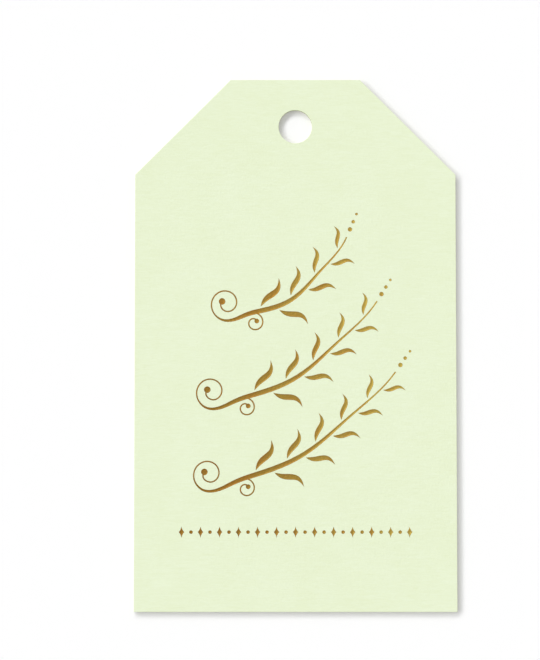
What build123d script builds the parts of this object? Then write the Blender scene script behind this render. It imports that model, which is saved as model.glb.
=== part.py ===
from build123d import *
import math
import os

# Gift tag: a face sheet and a back sheet glued into one stiff card, cut to shape with two
# slanted top corners and a round tie hole, and pressed with gold foil.
# It lies on its back: +Z out of the face, +Y towards the hole, origin under the card's middle.
# Lengths are in millimetres and angles in degrees.

# Card
card_width = 53.7
card_length = 88.9
corner_cut = 16.0  # each leg of the two slanted corners
hole_diameter = 5.6
hole_drop = 7.9  # hole centre below the top edge
sheet_thickness = 0.39  # each of the two sheets
glue_thickness = 0.02
edge_round = 0.04  # shoulder that the cutting die leaves round the face

# Foil, and the impression that it is pressed into
impression_depth = 0.08
foil_thickness = 0.03
cut_overrun = 0.05  # how far the impression's cutter stands out of the face

# Row of lozenges and beads near the bottom edge
border_height = 13.2  # row above the bottom edge
border_margin = 7.0  # bare card at each end of the row
border_gap = 0.82  # bare card between a lozenge and the next bead
lozenge_length = 1.9
lozenge_width = 0.92
bead_diameter = 0.6

# Three vines that rise to the right, stacked above that row
upper_vine_length = 26.0
middle_vine_length = 34.5
lower_vine_length = 38.5
lower_vine_height = 14.6  # middle of the lowest vine above the row
vine_gap = 1.7  # bare card between the leaves of one vine and of the next
vine_step = 1.3  # how far each vine stands to the right of the one above
vine_rise_angle = 28.0

# Stem of a vine: a curl that unwinds into a swelling stroke, with a tendril under it
hairline = 0.24
stem_swell = 0.84
stem_sag = 1.6
stem_flick = 3.4
curl_radius = 3.0
curl_eye_radius = 0.8
curl_turns = 1.4
curl_ball_diameter = 1.1
tendril_radius = 1.7
tendril_eye_radius = 0.5
tendril_turns = 1.2
tendril_ball_diameter = 0.8

# Leaves along a stem, and the dots that trail off its tip
leaf_length = 5.7
leaf_width = 1.0
leaf_gap = 0.26  # bare card between stem and leaf
leaf_pitch = 2.7
leaf_angle = 46.0
dot_diameter = 0.75
dot_pitch = 1.4

# Points along a curve, and places along a stroke where its width is set
curl_points = 14
stem_points = 10
leaf_points = 8
stem_stations = 40
tendril_stations = 16
leaf_stations = 10

# Forms of the strokes, as powers and as shares of the lengths that they follow
sag_end_share = 0.8
flick_power = 5
swell_lead_share = 0.08
swell_power = 0.62
tendril_place_share = 0.13
leaf_first_share = 0.20
leaf_span_share = 0.70
leaf_taper_share = 0.34
leaf_bend_share = 0.07
leaf_bow_share = 0.10
leaf_belly_power = 0.85
leaf_point_power = 1.2
dot_size_shares = (1.0, 0.8, 0.6)
lozenge_pinch_share = 0.8

# Levels and places that follow
front_base = sheet_thickness + glue_thickness
impression_floor = front_base + sheet_thickness - impression_depth
border_row = border_height - card_length / 2
border_pitch = (lozenge_width + bead_diameter) / 2 + border_gap  # from a lozenge to the next bead
leaf_reach = stem_swell / 2 + leaf_gap + leaf_length * math.sin(math.radians(leaf_angle))
vine_pitch = (2 * leaf_reach + vine_gap) / math.cos(math.radians(vine_rise_angle))


def pen_stroke(points, width_at, stations):
    """A stroke along a smooth line through points, as wide as width_at says at each share of it."""
    line = Spline(*points)
    left, right = [], []
    for k in range(stations + 1):
        share = k / stations
        across = (line % share).rotate(Axis.Z, 90) * (width_at(share) / 2)
        left.append(line @ share + across)
        right.append(line @ share - across)
    with BuildSketch() as stroke:
        with BuildLine():
            Spline(*left)
            Spline(*right)
            if width_at(0) > 0:
                Line(left[0], right[0])
            if width_at(1) > 0:
                Line(left[-1], right[-1])
        make_face()
    return stroke.sketch


def spiral(centre, eye_radius, rim_radius, turns, end_angle):
    """Points from the eye of an anticlockwise spiral out to its rim at end_angle."""
    points = []
    for k in range(curl_points):
        share = k / (curl_points - 1)
        angle = end_angle - 360 * turns * (1 - share)
        radius = eye_radius + (rim_radius - eye_radius) * share
        points.append(centre + Vector(radius, 0).rotate(Axis.Z, angle))
    return points


def vine_line(length):
    """Points of a vine: its curl, then a stem that sags below the base line and flicks up."""
    eye = Vector(curl_radius - length / 2, curl_radius)
    run = length - curl_radius
    points = spiral(eye, curl_eye_radius, curl_radius, curl_turns, -90)
    for k in range(1, stem_points + 1):
        share = k / stem_points
        sag = stem_sag * math.sin(math.pi * min(share / sag_end_share, 1)) ** 2
        points.append(Vector(eye.X + run * share, stem_flick * share**flick_power - sag))
    return points


def leaf(base, heading, hand, length):
    """An S-bent leaf from base along heading, pointed at both ends; hand is 1 above the stem."""
    across = heading.rotate(Axis.Z, 90 * hand)
    width = leaf_width * length / leaf_length
    points = []
    for k in range(leaf_points + 1):
        share = k / leaf_points
        bend = leaf_bend_share * math.sin(2 * math.pi * share)
        bow = leaf_bow_share * 4 * share * (1 - share)
        points.append(base + heading * (length * share) + across * (length * (bend - bow)))

    def leaf_width_at(share):
        belly = share**leaf_belly_power
        return width * (4 * belly * (1 - belly)) ** leaf_point_power

    return pen_stroke(points, leaf_width_at, leaf_stations)


def vine_patterns(name, length, row):
    """Foil outlines of the vine that stands row places above the lowest: stem, leaves and dots."""
    height = border_row + lower_vine_height + vine_pitch * row
    plane = Plane(
        origin=(vine_step * (1 - row), height, impression_floor),
        x_dir=Vector(1, 0).rotate(Axis.Z, vine_rise_angle),
        z_dir=(0, 0, 1),
    )
    points = vine_line(length)
    line = Spline(*points)
    curl_share = math.pi * curl_turns * (curl_radius + curl_eye_radius) / line.length

    def along_stem(share):
        return curl_share + (1 - curl_share) * share

    def stem_width_at(share):
        start = curl_share - swell_lead_share
        swelling = (max(share - start, 0) / (1 - start)) ** swell_power
        return hairline + (stem_swell - hairline) * math.sin(math.pi * swelling) ** 2

    fork = along_stem(tendril_place_share)
    below = (line % fork).rotate(Axis.Z, -90)
    tendril_centre = line @ fork + below * tendril_radius
    fork_angle = math.degrees(math.atan2(-below.Y, -below.X))
    tendril = spiral(tendril_centre, tendril_eye_radius, tendril_radius, tendril_turns, fork_angle)
    strokes = [
        pen_stroke(points, stem_width_at, stem_stations),
        pen_stroke(tendril, lambda share: hairline, tendril_stations),
    ]
    with BuildSketch(plane) as stem:
        add(strokes)
        with Locations(points[0]):
            Circle(curl_ball_diameter / 2)
        with Locations(tendril[0]):
            Circle(tendril_ball_diameter / 2)

    last_leaf = round(leaf_span_share * (length - curl_radius) / leaf_pitch)
    leaf_shapes = []
    for k in range(last_leaf + 1):
        place = along_stem(leaf_first_share + leaf_span_share * k / last_leaf)
        hand = 1 if k % 2 == 0 else -1
        side = (line % place).rotate(Axis.Z, 90 * hand)
        base = line @ place + side * (stem_width_at(place) / 2 + leaf_gap)
        heading = (line % place).rotate(Axis.Z, leaf_angle * hand)
        size = leaf_length * (1 - leaf_taper_share * k / last_leaf)
        leaf_shapes.append(leaf(base, heading, hand, size))
    with BuildSketch(plane) as leaves:
        add(leaf_shapes)

    with BuildSketch(plane) as dots:
        for k, size_share in enumerate(dot_size_shares):
            with Locations(line @ 1 + (line % 1) * (dot_pitch * (k + 1))):
                Circle(dot_diameter * size_share / 2)
    return {
        f"foil_{name}_vine": stem.sketch,
        f"foil_{name}_leaves": leaves.sketch,
        f"foil_{name}_dots": dots.sketch,
    }


def border_patterns():
    """Foil outlines of the row near the bottom edge: hollow-sided lozenges, and beads between them."""
    corners = [
        Vector(lozenge_width / 2, 0),
        Vector(0, lozenge_length / 2),
        Vector(-lozenge_width / 2, 0),
        Vector(0, -lozenge_length / 2),
    ]
    with BuildSketch() as lozenge:
        with BuildLine():
            for k, corner in enumerate(corners):
                before = corners[k - 1]
                ThreePointArc(before, (before + corner) * (lozenge_pinch_share / 2), corner)
        make_face()
    row_length = card_width - 2 * border_margin - lozenge_width
    lozenge_count = 1 + int(row_length / (2 * border_pitch))
    plane = Plane((0, border_row, impression_floor))
    with BuildSketch(plane) as lozenges:
        with GridLocations(2 * border_pitch, 0, lozenge_count, 1):
            add(lozenge.sketch)
    with BuildSketch(plane) as beads:
        with GridLocations(2 * border_pitch, 0, lozenge_count - 1, 1):
            Circle(bead_diameter / 2)
    return {"foil_border_lozenges": lozenges.sketch, "foil_border_beads": beads.sketch}


# Outline that the cutting die gives both sheets and the glue between them
with BuildSketch() as tag_outline:
    Rectangle(card_width, card_length)
    chamfer(tag_outline.vertices().group_by(Axis.Y)[-1], length=corner_cut)
    with Locations((0, card_length / 2 - hole_drop)):
        Circle(hole_diameter / 2, mode=Mode.SUBTRACT)

foil_patterns = {
    **vine_patterns("upper", upper_vine_length, 2),
    **vine_patterns("middle", middle_vine_length, 1),
    **vine_patterns("lower", lower_vine_length, 0),
    **border_patterns(),
}

os.makedirs("parts", exist_ok=True)

# Back sheet, which the tag lies on
with BuildPart() as back_sheet:
    with BuildSketch():
        add(tag_outline.sketch)
    extrude(amount=sheet_thickness)
back_sheet.part.label = "back_sheet"
export_step(back_sheet.part, "parts/back_sheet.step")

# Glue film between the two sheets
with BuildPart() as glue_film:
    with BuildSketch(Plane.XY.offset(sheet_thickness)):
        add(tag_outline.sketch)
    extrude(amount=glue_thickness)
glue_film.part.label = "glue_film"
export_step(glue_film.part, "parts/glue_film.step")

# Face sheet, with a soft cut edge and the impressions that hold the foil
with BuildPart() as face_sheet:
    with BuildSketch(Plane.XY.offset(front_base)):
        add(tag_outline.sketch)
    extrude(amount=sheet_thickness)
    fillet(face_sheet.edges().group_by(Axis.Z)[-1], edge_round)
    add(foil_patterns.values())
    extrude(amount=impression_depth + cut_overrun, mode=Mode.SUBTRACT)
face_sheet.part.label = "face_sheet"
export_step(face_sheet.part, "parts/face_sheet.step")

# Foil on the floor of each impression
for name, pattern in foil_patterns.items():
    with BuildPart() as foil:
        extrude(pattern, amount=foil_thickness)
    foil.part.label = name
    export_step(foil.part, f"parts/{name}.step")
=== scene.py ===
import math

import bmesh
import bpy
import numpy as np
from mathutils import Euler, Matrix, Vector
from mathutils.geometry import delaunay_2d_cdt


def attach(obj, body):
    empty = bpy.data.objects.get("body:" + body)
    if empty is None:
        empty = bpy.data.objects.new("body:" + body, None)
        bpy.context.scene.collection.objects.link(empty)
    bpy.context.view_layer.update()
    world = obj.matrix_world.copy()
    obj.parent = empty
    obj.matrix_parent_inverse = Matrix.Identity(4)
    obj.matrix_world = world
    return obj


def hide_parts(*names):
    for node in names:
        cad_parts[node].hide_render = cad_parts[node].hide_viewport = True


# Gift tag: two sheets of card glued together, with a gold foil ornament pressed into the face.
# The sheets and the glue keep their solids. Each foil node is replaced by a film that dips from
# its rim.

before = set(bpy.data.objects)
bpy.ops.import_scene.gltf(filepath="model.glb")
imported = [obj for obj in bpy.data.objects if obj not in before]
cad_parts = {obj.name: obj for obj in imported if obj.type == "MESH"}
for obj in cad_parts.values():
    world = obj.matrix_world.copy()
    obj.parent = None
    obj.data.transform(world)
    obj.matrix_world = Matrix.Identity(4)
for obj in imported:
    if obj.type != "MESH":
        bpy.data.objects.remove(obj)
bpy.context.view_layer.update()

# Sizes are in millimetres, and this turns them to metres.
mm = 0.001

# Camera, nearly square over the tag and a little towards its bottom edge
camera_distance = 350.0
camera_aim = (-4.25, 2.42, 0.0)
camera_tilt = math.radians(3.02)
focal_pixels = 2091
picture_height_pixels = 660
sensor_size = 36.0  # along the picture's longer side
nearest_seen = 10.0

# Light: a wide strip of lamps up and left of the tag, and an even white room
key_zenith_angle = math.radians(56.0)
key_bearings = [math.radians(degrees) for degrees in (106, 124, 142, 160, 178)]  # from +X towards +Y
key_spread = math.radians(16.0)  # of each lamp
key_share = 0.44  # of the light on a level surface

# Table top that the tag lies on
table_size = 40000.0

# What the foil reflects: white walls, a dimmer ceiling, and a soft screen above the lamps
wall_level = 1.0
ceiling_level = 0.65
side_swing = 0.2  # more on the lamps' side and less across from it
screen_level = 1.0
screen_zenith_angle = math.radians(42.0)
screen_core = math.radians(10.0)
screen_reach = math.radians(38.0)

# Card. Real fibres are about 0.03 mm wide, real tooth about 0.1 mm, and the layers of pulp in a cut
# edge about 0.02 mm. All three are drawn coarser, so that they show.
cloud_size = 7.0
fibre_width = 0.32
fibre_width_share = 0.16  # of the fibre's length, which lies along X
fibre_share = 0.65  # of the face's mottle, and the clouds are the rest
tooth_size = 0.4
tooth_depth = 0.06  # which the foil film takes up
layer_thickness = 0.07
layer_thickness_share = 0.06  # of the layer's length

# Glue line in the cut edge
glue_bead_size = 0.8

# Foil finish, with a painted reflection that drifts across it and painted shade along its rim
drift_length = 33.0  # from brown to pale, a painted reflection that brightens towards the right
drift_turn = math.radians(-9.0)
drift_middle_share = 0.47  # of the way to pale, at the card's middle
puddle_size = 3.0
rim_shade_band = 0.12

# Foil film
film_thickness = 0.03
shoulder_width = 0.2  # from the rim to where the film lies flat
shoulder_rise = 0.045  # rim above the flat
film_point_spacing = 0.07
weld_distance = 0.0001


def linear(hex_colour):
    """Linear colour of an sRGB hex value."""
    shares = [int(hex_colour[k : k + 2], 16) / 255 for k in (1, 3, 5)]
    return [s / 12.92 if s <= 0.04045 else ((s + 0.055) / 1.055) ** 2.4 for s in shares] + [1.0]


def per_metre(size):
    """Texture scale at which a pattern's features are size millimetres across."""
    return 1 / (size * mm)


def add_node(tree, kind, inputs=None, **settings):
    """Adds a node. Its inputs go by name, or by place among the live ones, and each is a value, a
    socket, or a node whose first live output it takes."""
    made = tree.nodes.new(kind)
    for name, value in settings.items():
        setattr(made, name, value)
    for name, value in (inputs or {}).items():
        live = [socket for socket in made.inputs if socket.enabled]
        socket = live[name] if isinstance(name, int) else next(s for s in live if s.name == name)
        if isinstance(value, bpy.types.Node):
            value = next(output for output in value.outputs if output.enabled)
        if isinstance(value, bpy.types.NodeSocket):
            tree.links.new(value, socket)
        else:
            socket.default_value = value
    return made


def new_material(name):
    """An empty material: its node tree, and the coordinates that its patterns lie on."""
    material = bpy.data.materials.new(name)
    material.use_nodes = True
    tree = material.node_tree
    tree.nodes.clear()
    return material, tree, add_node(tree, "ShaderNodeTexCoord")


def uncoated_card(name, face_tones, shaded_edge_tones):
    """Uncoated card, dyed in the pulp and die-cut: matte, with a soft tooth, faint clouds where the
    fibres lie thicker, and a layered cut edge painted darker than the face, as painted shade among
    its cut fibres. Tones run from deep to pale."""
    material, tree, place = new_material(name)
    spot = place.outputs["Object"]

    # Face, mottled by clouds and fibres
    clouds = add_node(
        tree, "ShaderNodeTexNoise", {"Vector": spot, "Scale": per_metre(cloud_size), "Detail": 3.0}
    )
    along = add_node(
        tree, "ShaderNodeMapping", {"Vector": spot, "Scale": (fibre_width_share, 1, 1)}
    )
    fibres = add_node(
        tree,
        "ShaderNodeTexNoise",
        {"Vector": along, "Scale": per_metre(fibre_width), "Detail": 2.0, "Distortion": 1.2},
    )
    mottle = add_node(
        tree, "ShaderNodeMix", {"Factor": fibre_share, "A": clouds, "B": fibres}, data_type="FLOAT"
    )
    paleness = add_node(
        tree, "ShaderNodeMapRange", {"Value": mottle, "From Min": 0.3, "From Max": 0.7}
    )
    face_tone = add_node(
        tree,
        "ShaderNodeMix",
        {"Factor": paleness, "A": linear(face_tones[0]), "B": linear(face_tones[1])},
        data_type="RGBA",
    )

    # Cut edge, in layers that lie level, painted darker than the face: painted shade among the cut
    # fibres
    level_stretch = (layer_thickness_share, layer_thickness_share, 1)
    layers_place = add_node(tree, "ShaderNodeMapping", {"Vector": spot, "Scale": level_stretch})
    layers = add_node(
        tree,
        "ShaderNodeTexNoise",
        {"Vector": layers_place, "Scale": per_metre(layer_thickness), "Detail": 3.0},
    )
    edge_paleness = add_node(
        tree, "ShaderNodeMapRange", {"Value": layers, "From Min": 0.25, "From Max": 0.75}
    )
    edge_colour_with_shade = add_node(
        tree,
        "ShaderNodeMix",
        {"Factor": edge_paleness, "A": linear(shaded_edge_tones[0]), "B": linear(shaded_edge_tones[1])},
        data_type="RGBA",
    )

    # Face tone where the surface is level, and the darker edge tone with its painted shade where it
    # stands upright
    facing = add_node(tree, "ShaderNodeSeparateXYZ", {"Vector": place.outputs["Normal"]})
    levelness = add_node(tree, "ShaderNodeMath", {0: facing.outputs["Z"]}, operation="ABSOLUTE")
    on_face = add_node(
        tree,
        "ShaderNodeMapRange",
        {"Value": levelness, "From Min": 0.3, "From Max": 0.9},
        interpolation_type="SMOOTHSTEP",
    )
    tone = add_node(
        tree, "ShaderNodeMix", {"Factor": on_face, "A": edge_colour_with_shade, "B": face_tone}, data_type="RGBA"
    )

    tooth = add_node(
        tree,
        "ShaderNodeTexNoise",
        {"Vector": spot, "Scale": per_metre(tooth_size), "Detail": 4.0, "Roughness": 0.6},
    )
    relief = add_node(tree, "ShaderNodeBump", {"Distance": tooth_depth * mm, "Height": tooth})
    paper = add_node(
        tree,
        "ShaderNodeBsdfPrincipled",
        {"Base Color": tone, "Roughness": 0.92, "Specular IOR Level": 0.15, "Normal": relief},
    )
    add_node(tree, "ShaderNodeOutputMaterial", {"Surface": paper})
    return material


def laminating_glue():
    """Dried laminating glue: a cream, half-glossy line in the cut edge, a little uneven."""
    material, tree, place = new_material("laminating_glue")
    beads = add_node(
        tree,
        "ShaderNodeTexNoise",
        {"Vector": place.outputs["Object"], "Scale": per_metre(glue_bead_size), "Detail": 2.0},
    )
    tone = add_node(
        tree,
        "ShaderNodeMix",
        {"Factor": beads, "A": linear("#D9D0B4"), "B": linear("#F0EBDA")},
        data_type="RGBA",
    )
    glue = add_node(
        tree, "ShaderNodeBsdfPrincipled", {"Base Color": tone, "Roughness": 0.45, "IOR": 1.47}
    )
    add_node(tree, "ShaderNodeOutputMaterial", {"Surface": glue})
    return material


def stamped_gold_foil():
    """Hot-stamped metallised film with a gold lacquer: satin metal that follows the card's tooth,
    painted darker and browner towards the left and paler towards the right as a painted reflection,
    redder where the lacquer is thick, with painted shade along its rim."""
    material, tree, place = new_material("stamped_gold_foil")
    spot = place.outputs["Object"]

    # Painted reflection: the colour drifts from brown to pale across the card, brighter towards the
    # right
    across = add_node(
        tree,
        "ShaderNodeMapping",
        {
            "Vector": spot,
            "Rotation": (0, 0, drift_turn),
            "Location": (drift_middle_share, 0, 0),
            "Scale": (per_metre(drift_length),) * 3,
        },
    )
    drift = add_node(tree, "ShaderNodeTexGradient", {"Vector": across})
    painted_reflection_drift_tone = add_node(
        tree,
        "ShaderNodeMix",
        {"Factor": drift, "A": linear("#A47D37"), "B": linear("#D3B85A")},
        data_type="RGBA",
    )

    # Puddles where it dried thicker
    puddles = add_node(
        tree, "ShaderNodeTexNoise", {"Vector": spot, "Scale": per_metre(puddle_size), "Detail": 3.0}
    )
    thickness = add_node(
        tree,
        "ShaderNodeMapRange",
        {"Value": puddles, "From Min": 0.42, "From Max": 0.7, "To Max": 0.5},
    )
    # This tone carries the painted reflection drift as well as the real thicker puddles.
    lacquer = add_node(
        tree,
        "ShaderNodeMix",
        {"Factor": thickness, "A": painted_reflection_drift_tone, "B": linear("#B87C35")},
        data_type="RGBA",
    )

    # Painted shade: a darker band along the film's rim, where it meets the impression's wall
    rim = add_node(tree, "ShaderNodeAttribute", attribute_name="rim_distance")
    painted_rim_shade = add_node(
        tree,
        "ShaderNodeMapRange",
        {"Value": rim.outputs["Fac"], "From Max": rim_shade_band * mm, "To Min": 1.0, "To Max": 0.0},
        interpolation_type="SMOOTHSTEP",
    )
    tone = add_node(
        tree,
        "ShaderNodeMix",
        {"Factor": painted_rim_shade, "A": lacquer, "B": linear("#EFE9DC")},
        data_type="RGBA",
        blend_type="MULTIPLY",
    )

    # Tooth of the card under the film
    tooth = add_node(
        tree,
        "ShaderNodeTexNoise",
        {"Vector": spot, "Scale": per_metre(tooth_size), "Detail": 3.0, "Roughness": 0.6},
    )
    relief = add_node(tree, "ShaderNodeBump", {"Distance": tooth_depth * mm, "Height": tooth})
    satin = add_node(tree, "ShaderNodeMapRange", {"Value": tooth, "To Min": 0.26, "To Max": 0.4})
    metal = add_node(
        tree,
        "ShaderNodeBsdfPrincipled",
        {
            "Base Color": tone,
            "Metallic": 1.0,
            "Roughness": satin,
            "Specular Tint": linear("#F4E0AE"),
            "Normal": relief,
        },
    )
    add_node(tree, "ShaderNodeOutputMaterial", {"Surface": metal})
    return material


def white_table():
    """Painted table top: plain white and matte, so that it keeps the tag's shadow."""
    material, tree, _ = new_material("white_table")
    board = add_node(
        tree,
        "ShaderNodeBsdfPrincipled",
        {"Base Color": linear("#FFFFFF"), "Roughness": 1.0, "Specular IOR Level": 0.0},
    )
    add_node(tree, "ShaderNodeOutputMaterial", {"Surface": board})
    return material


def patch_outlines(node_name):
    """Outlines of a node's foil patches, as rows of x and y in millimetres, and the level in metres
    that they lie at."""
    under = bmesh.new()
    under.from_mesh(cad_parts[node_name].data)
    bmesh.ops.remove_doubles(under, verts=under.verts, dist=weld_distance * mm)
    level = min(vertex.co.z for vertex in under.verts)
    upper = [vertex for vertex in under.verts if vertex.co.z > level + film_thickness * mm / 2]
    bmesh.ops.delete(under, geom=upper, context="VERTS")
    under.edges.index_update()
    waiting = {edge.index: edge for edge in under.edges if edge.is_boundary}
    outlines = []
    while waiting:
        _, edge = waiting.popitem()
        first, corner = edge.verts
        outline = [first.co.xy, corner.co.xy]
        while corner != first:
            edge = next(e for e in corner.link_edges if e.index in waiting)
            del waiting[edge.index]
            corner = edge.other_vert(corner)
            outline.append(corner.co.xy)
        outlines.append(np.array(outline[:-1]) / mm)
    under.free()
    return outlines, level


def points_inside(outline, spacing):
    """Points in rows inside an outline, none nearer to it than half the spacing."""
    start, end = outline, np.roll(outline, -1, axis=0)
    rows = []
    for y in np.arange(outline[:, 1].min() + spacing / 2, outline[:, 1].max(), spacing):
        crossed = (start[:, 1] > y) != (end[:, 1] > y)
        low, high = start[crossed], end[crossed]
        slope = (high[:, 0] - low[:, 0]) / (high[:, 1] - low[:, 1])
        walls = np.sort(low[:, 0] + (y - low[:, 1]) * slope)
        for left, right in zip(walls[::2], walls[1::2]):
            x = np.arange(left + spacing / 2, right, spacing)
            rows.append(np.column_stack([x, np.full_like(x, y)]))
    points = np.concatenate(rows)
    run = end - start
    offset = points[:, None] - start
    share = np.clip((offset * run).sum(2) / (run * run).sum(1), 0, 1)
    distance = np.linalg.norm(offset - share[:, :, None] * run, axis=2).min(1)
    return points[distance > spacing / 2]


def flat_patches(name, outlines, level):
    """A flat mesh that fills the outlines, with points close enough to be bent."""
    points, triangles = [], []
    for outline in outlines:
        rim = [(k, (k + 1) % len(outline)) for k in range(len(outline))]
        filled = np.concatenate([outline, points_inside(outline, film_point_spacing)])
        corners, _, faces, *_ = delaunay_2d_cdt([Vector(p) for p in filled], rim, [], 1, weld_distance)
        triangles += [[len(points) + k for k in face] for face in faces]
        points += [(p.x * mm, p.y * mm, level) for p in corners]
    mesh = bpy.data.meshes.new(name)
    mesh.from_pydata(points, [], triangles)
    return mesh


def pressed_film_tree():
    """Gives a flat patch its thickness, bends it up to its rim, and repeats it along a row."""
    tree = bpy.data.node_groups.new("pressed_film", "GeometryNodeTree")
    for name, kind in (
        ("Patch", "NodeSocketGeometry"),
        ("Film Thickness", "NodeSocketFloat"),
        ("Shoulder Width", "NodeSocketFloat"),
        ("Shoulder Rise", "NodeSocketFloat"),
        ("Count", "NodeSocketInt"),
        ("Pitch", "NodeSocketFloat"),
        ("Foil", "NodeSocketMaterial"),
    ):
        tree.interface.new_socket(name, in_out="INPUT", socket_type=kind)
    tree.interface.new_socket("Film", in_out="OUTPUT", socket_type="NodeSocketGeometry")
    given = add_node(tree, "NodeGroupInput").outputs

    # Distance of each point from the rim, which the foil's finish reads too
    neighbours = add_node(tree, "GeometryNodeInputMeshEdgeNeighbors")
    at_rim = add_node(
        tree, "FunctionNodeCompare", {"A": neighbours, "B": 1}, data_type="INT", operation="EQUAL"
    )
    rim = add_node(
        tree,
        "GeometryNodeSeparateGeometry",
        {"Geometry": given["Patch"], "Selection": at_rim},
        domain="EDGE",
    )
    to_rim = add_node(tree, "GeometryNodeProximity", {"Geometry": rim}, target_element="EDGES")
    measured = add_node(
        tree,
        "GeometryNodeStoreNamedAttribute",
        {"Geometry": given["Patch"], "Name": "rim_distance", "Value": to_rim.outputs["Distance"]},
        data_type="FLOAT",
        domain="POINT",
    )

    # Upper side, raised by the film's thickness and bent up towards the rim
    raised = add_node(
        tree,
        "GeometryNodeExtrudeMesh",
        {"Mesh": measured, "Offset Scale": given["Film Thickness"], "Individual": False},
        mode="FACES",
    )
    distance = add_node(
        tree, "GeometryNodeInputNamedAttribute", {"Name": "rim_distance"}, data_type="FLOAT"
    )
    lift = add_node(
        tree,
        "ShaderNodeMapRange",
        {
            "Value": distance,
            "From Max": given["Shoulder Width"],
            "To Min": given["Shoulder Rise"],
            "To Max": 0.0,
        },
        interpolation_type="SMOOTHSTEP",
    )
    upward = add_node(tree, "ShaderNodeCombineXYZ", {"Z": lift})
    bent = add_node(
        tree,
        "GeometryNodeSetPosition",
        {"Geometry": raised, "Selection": raised.outputs["Top"], "Offset": upward},
    )
    smooth = add_node(
        tree,
        "GeometryNodeSetShadeSmooth",
        {"Geometry": bent, "Shade Smooth": raised.outputs["Top"]},
        domain="FACE",
    )

    # Underside, which closes the film
    underside = add_node(tree, "GeometryNodeFlipFaces", {"Mesh": measured})
    both = add_node(tree, "GeometryNodeJoinGeometry", {"Geometry": smooth})
    tree.links.new(underside.outputs["Mesh"], both.inputs["Geometry"])
    closed = add_node(
        tree, "GeometryNodeMergeByDistance", {"Geometry": both, "Distance": weld_distance * mm}
    )

    # Copies along a row
    step = add_node(tree, "ShaderNodeCombineXYZ", {"X": given["Pitch"]})
    line = add_node(tree, "GeometryNodeMeshLine", {"Count": given["Count"], "Offset": step})
    copies = add_node(tree, "GeometryNodeInstanceOnPoints", {"Points": line, "Instance": closed})
    real = add_node(tree, "GeometryNodeRealizeInstances", {"Geometry": copies})
    foiled = add_node(
        tree, "GeometryNodeSetMaterial", {"Geometry": real, "Material": given["Foil"]}
    )
    add_node(tree, "NodeGroupOutput", {"Film": foiled})
    return tree


def pressed_film(node_name, tree, foil, in_row=False):
    """Replaces a foil node by its pressed film. A row is made from its first patch."""
    outlines, level = patch_outlines(node_name)
    outlines.sort(key=lambda outline: outline[:, 0].min())
    count, pitch = 1, 0.0
    if in_row:
        count = len(outlines)
        pitch = (outlines[-1][:, 0].min() - outlines[0][:, 0].min()) / (count - 1)
        outlines = outlines[:1]
    name = node_name.replace("foil", "pressed")
    piece = bpy.data.objects.new(name, flat_patches(name, outlines, level))
    bpy.context.scene.collection.objects.link(piece)
    film = piece.modifiers.new("pressed_film", "NODES")
    film.node_group = tree
    sizes = {
        "Film Thickness": film_thickness * mm,
        "Shoulder Width": shoulder_width * mm,
        "Shoulder Rise": shoulder_rise * mm,
        "Count": count,
        "Pitch": pitch * mm,
        "Foil": foil,
    }
    for socket in tree.interface.items_tree:
        if socket.name in sizes:
            film[socket.identifier] = sizes[socket.name]
    finished = piece.evaluated_get(bpy.context.evaluated_depsgraph_get())
    mesh = bpy.data.meshes.new_from_object(finished)
    piece.modifiers.remove(film)
    piece.data = mesh
    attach(piece, "root")
    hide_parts(node_name)


def dress(node_name, material):
    """Gives a CAD node its finish."""
    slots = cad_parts[node_name].data.materials
    slots.clear()
    slots.append(material)


def lay_table():
    """White table top that the tag lies on."""
    half = table_size / 2 * mm
    corners = [(-half, -half, 0), (half, -half, 0), (half, half, 0), (-half, half, 0)]
    mesh = bpy.data.meshes.new("table")
    mesh.from_pydata(corners, [], [(0, 1, 2, 3)])
    mesh.materials.append(white_table())
    table = bpy.data.objects.new("table", mesh)
    bpy.context.scene.collection.objects.link(table)


def hang_lamps():
    """Strip of soft lamps. With the room's even light they light a level white surface to 1."""
    for k, bearing in enumerate(key_bearings):
        key = bpy.data.objects.new(f"key_{k}", bpy.data.lights.new(f"key_{k}", "SUN"))
        key.data.energy = key_share * math.pi / math.cos(key_zenith_angle) / len(key_bearings)
        key.data.angle = key_spread
        # A lamp shines down its own -Z, so it leans back from the zenith and turns to its bearing.
        key.rotation_euler = (0, key_zenith_angle, bearing)
        key.visible_glossy = False  # the foil reflects the room instead
        bpy.context.scene.collection.objects.link(key)


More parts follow.
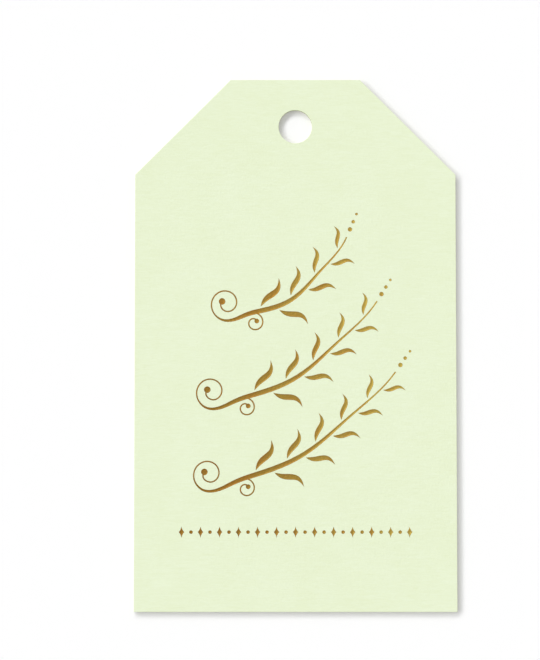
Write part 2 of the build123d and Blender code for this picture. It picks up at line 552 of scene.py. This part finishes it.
def paint_room():
    """White room: an even light on the tag, walls and a screen for the foil to reflect, and plain
    white where the camera looks past the table."""
    world = bpy.data.worlds.new("room")
    bpy.context.scene.world = world
    world.use_nodes = True
    tree = world.node_tree
    tree.nodes.clear()
    white = linear("#FFFFFF")
    even_light = add_node(tree, "ShaderNodeBackground", {"Color": white, "Strength": 1 - key_share})

    # Walls and ceiling, brighter on the lamps' side
    direction = add_node(tree, "ShaderNodeTexCoord").outputs["Generated"]
    middle = key_bearings[len(key_bearings) // 2]
    lamp_side = (math.cos(middle), math.sin(middle), 0)
    toward_lamps = add_node(
        tree, "ShaderNodeVectorMath", {0: direction, 1: lamp_side}, operation="DOT_PRODUCT"
    ).outputs["Value"]
    height = add_node(tree, "ShaderNodeSeparateXYZ", {"Vector": direction}).outputs["Z"]
    shell = add_node(
        tree,
        "ShaderNodeMapRange",
        {"Value": height, "To Min": wall_level, "To Max": ceiling_level},
        interpolation_type="SMOOTHSTEP",
    )
    walls = add_node(
        tree,
        "ShaderNodeMath",
        {0: toward_lamps, 1: side_swing, 2: shell},
        operation="MULTIPLY_ADD",
    )

    # Soft round screen
    screen_place = Euler((0, screen_zenith_angle, middle)).to_matrix().col[2]
    toward_screen = add_node(
        tree, "ShaderNodeVectorMath", {0: direction, 1: screen_place}, operation="DOT_PRODUCT"
    ).outputs["Value"]
    screen = add_node(
        tree,
        "ShaderNodeMapRange",
        {
            "Value": toward_screen,
            "From Min": math.cos(screen_reach),
            "From Max": math.cos(screen_core),
            "To Max": screen_level,
        },
        interpolation_type="SMOOTHSTEP",
    )
    room_level = add_node(tree, "ShaderNodeMath", {0: walls, 1: screen}, operation="ADD")
    reflected = add_node(tree, "ShaderNodeBackground", {"Color": white, "Strength": room_level})

    backdrop = add_node(tree, "ShaderNodeBackground", {"Color": white})
    ray = add_node(tree, "ShaderNodeLightPath").outputs
    looked_at = add_node(
        tree,
        "ShaderNodeMath",
        {0: ray["Is Camera Ray"], 1: ray["Is Transmission Ray"]},
        operation="MAXIMUM",
    )
    lit = add_node(
        tree, "ShaderNodeMixShader", {"Fac": ray["Is Glossy Ray"], 1: even_light, 2: reflected}
    )
    shown = add_node(tree, "ShaderNodeMixShader", {"Fac": looked_at, 1: lit, 2: backdrop})
    add_node(tree, "ShaderNodeOutputWorld", {"Surface": shown})


def set_camera():
    """Camera over the tag, as in the photograph."""
    camera = bpy.data.objects.new("camera", bpy.data.cameras.new("camera"))
    camera.rotation_euler = (camera_tilt, 0, 0)
    back = camera.rotation_euler.to_matrix().col[2]
    camera.location = (Vector(camera_aim) + back * camera_distance) * mm
    camera.data.sensor_fit = "AUTO"
    camera.data.sensor_width = sensor_size
    camera.data.lens = focal_pixels / picture_height_pixels * sensor_size
    camera.data.clip_start = nearest_seen * mm
    camera.data.clip_end = table_size * mm
    bpy.context.scene.collection.objects.link(camera)
    bpy.context.scene.camera = camera


# The edge tones are darker than the face tones: painted shade on the cut edges.
green_card = uncoated_card(
    "pale_green_card", face_tones=("#E8F2CE", "#EDF7D9"), shaded_edge_tones=("#AEBD8C", "#CFDDB4")
)
white_card = uncoated_card(
    "soft_white_card", face_tones=("#F0EEE6", "#F8F6F0"), shaded_edge_tones=("#C4BFB0", "#E2DED2")
)
dress("face_sheet", green_card)
dress("back_sheet", white_card)
dress("glue_film", laminating_glue())

foil = stamped_gold_foil()
film_tree = pressed_film_tree()
for row in ("upper", "middle", "lower"):
    for motif in ("vine", "leaves", "dots"):
        pressed_film(f"foil_{row}_{motif}", film_tree, foil)
for motif in ("lozenges", "beads"):
    pressed_film(f"foil_border_{motif}", film_tree, foil, in_row=True)

lay_table()
hang_lamps()
paint_room()
set_camera()
bpy.context.scene.view_settings.view_transform = "Standard"
